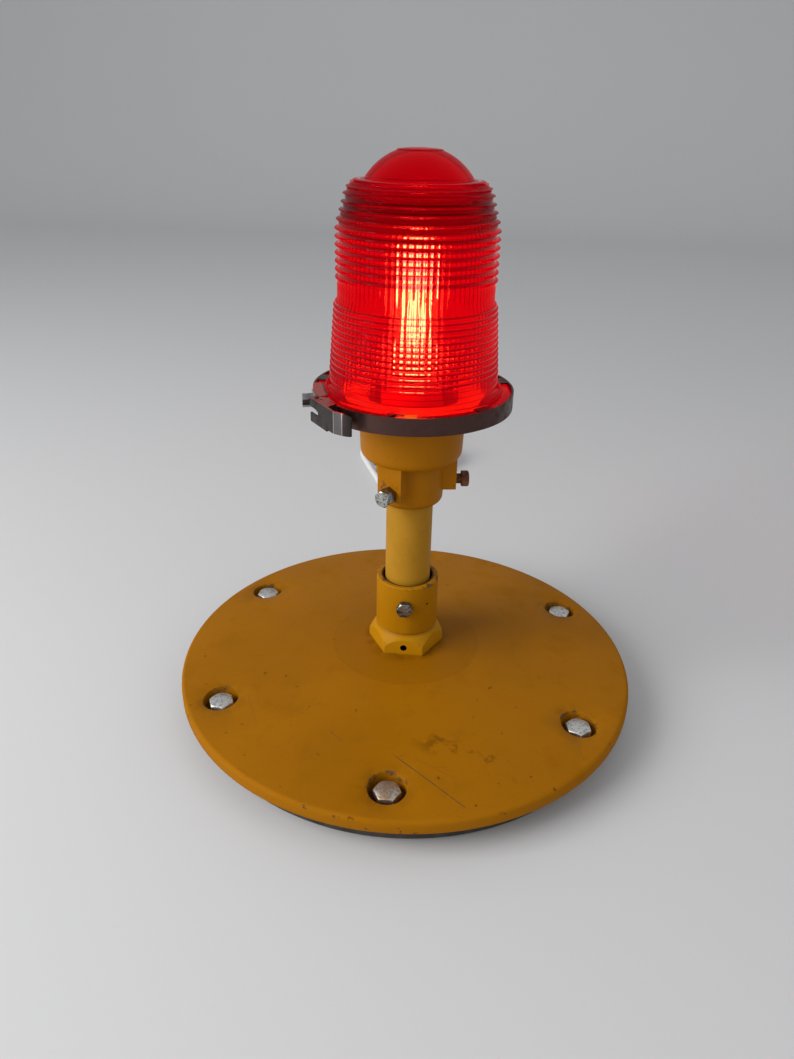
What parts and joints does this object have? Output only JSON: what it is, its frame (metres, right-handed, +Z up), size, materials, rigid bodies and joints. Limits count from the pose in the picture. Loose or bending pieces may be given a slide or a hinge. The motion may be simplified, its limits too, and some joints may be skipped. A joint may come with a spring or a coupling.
{
  "type": "desk lamp",
  "caption": "Elevated runway light made into a desk lamp: ribbed red glass lens on a short column, round cover-plate base, mains cord with plug.",
  "frame": {"origin": "centre of the base on the desk, under the column's axis", "axes": "+Z up along the column, -Y towards the front bolt, the coupling's set screw and its weep hole, cord leaving at +Y"},
  "size_m": [0.3048, 0.6564, 0.3465],
  "materials": {
    "yellow_enamel": "worn semi-gloss enamel",
    "cream_enamel": "faded semi-gloss enamel",
    "dark_wood": "dark stained, matt",
    "black_rubber": "matt",
    "zinc": "worn zinc plating",
    "rust": "rusty steel",
    "white_plastic": "moulded, satin",
    "white_cord": "satin sheath",
    "black_plastic": "matt",
    "brass": "bright, slightly tarnished",
    "porcelain": "glazed ceramic",
    "cap_metal": "bright rolled metal",
    "black_glass": "opaque, gloss",
    "bulb_glass": "clear",
    "filament": "glowing strips",
    "red_glass": "clear red, prismatic rings",
    "dark_steel": "tarnished stainless",
    "latch_steel": "worn stainless"
  },
  "bodies": {
    "base": {"base_plate": "yellow_enamel", "mounting_ring": "dark_wood", "tee_nuts": "zinc", "plate_bolts": "zinc", "rubber_pads": "black_rubber", "coupling": "yellow_enamel", "coupling_locknut": "zinc", "coupling_set_screw": "zinc", "strain_relief": "white_plastic", "lower_cord": "white_cord", "cord": "white_cord", "cord_coil": "white_cord", "coil_tie": "black_plastic", "plug_body": "white_plastic", "plug_blades": "brass"},
    "mast": {"column": "cream_enamel", "lamp_head": "yellow_enamel", "zinc_neck_screw": "zinc", "neck_lock_nut": "zinc", "rusty_neck_screws": "rust", "upper_cord": "white_cord", "cord_grommet": "black_rubber", "socket_bracket": "zinc", "socket_screws": "zinc", "socket_body": "porcelain", "socket_shell": "brass", "socket_contact": "brass", "socket_leads": "black_plastic", "lens_gasket": "black_rubber"},
    "bulb": {"bulb_cap": "cap_metal", "bulb_insulator": "black_glass", "bulb_contact": "cap_metal", "bulb_envelope": "bulb_glass", "bulb_stem": "bulb_glass", "bulb_filaments": "filament"},
    "lens_unit": {"lens": "red_glass", "clamp_band": "dark_steel", "latch_bracket": "latch_steel", "latch_catch": "latch_steel", "latch_rivets": "latch_steel", "lever_rivets": "latch_steel"},
    "lever": {"latch_lever": "latch_steel", "link_pin": "latch_steel"},
    "link": {"latch_link": "latch_steel"}
  },
  "joints": [
    {"name": "mast_turn", "type": "hinge", "parent": "base", "child": "mast", "pos_m": [0, 0, 0.058], "axis": [0, 0, 1], "range_deg": [-170, 170]},
    {"name": "bulb_turn", "type": "hinge", "parent": "mast", "child": "bulb", "pos_m": [0, 0, 0.2], "axis": [0, 0, 1], "continuous": true},
    {"name": "lens_lift", "type": "slide", "parent": "mast", "child": "lens_unit", "axis": [0, 0, 1], "range_m": [0, 0.12]},
    {"name": "latch_open", "type": "hinge", "parent": "lens_unit", "child": "lever", "pos_m": [-0.05144, -0.03502, 0.213], "axis": [0, 0, -1], "range_deg": [0, 85]},
    {"name": "link_swing", "type": "hinge", "parent": "lever", "child": "link", "pos_m": [-0.04827, -0.03853, 0.213], "axis": [0, 0, -1], "range_deg": [-85, 0]}
  ],
  "couplings": [
    {"joint": "link_swing", "follows": "latch_open", "ratio": -1}
  ]
}
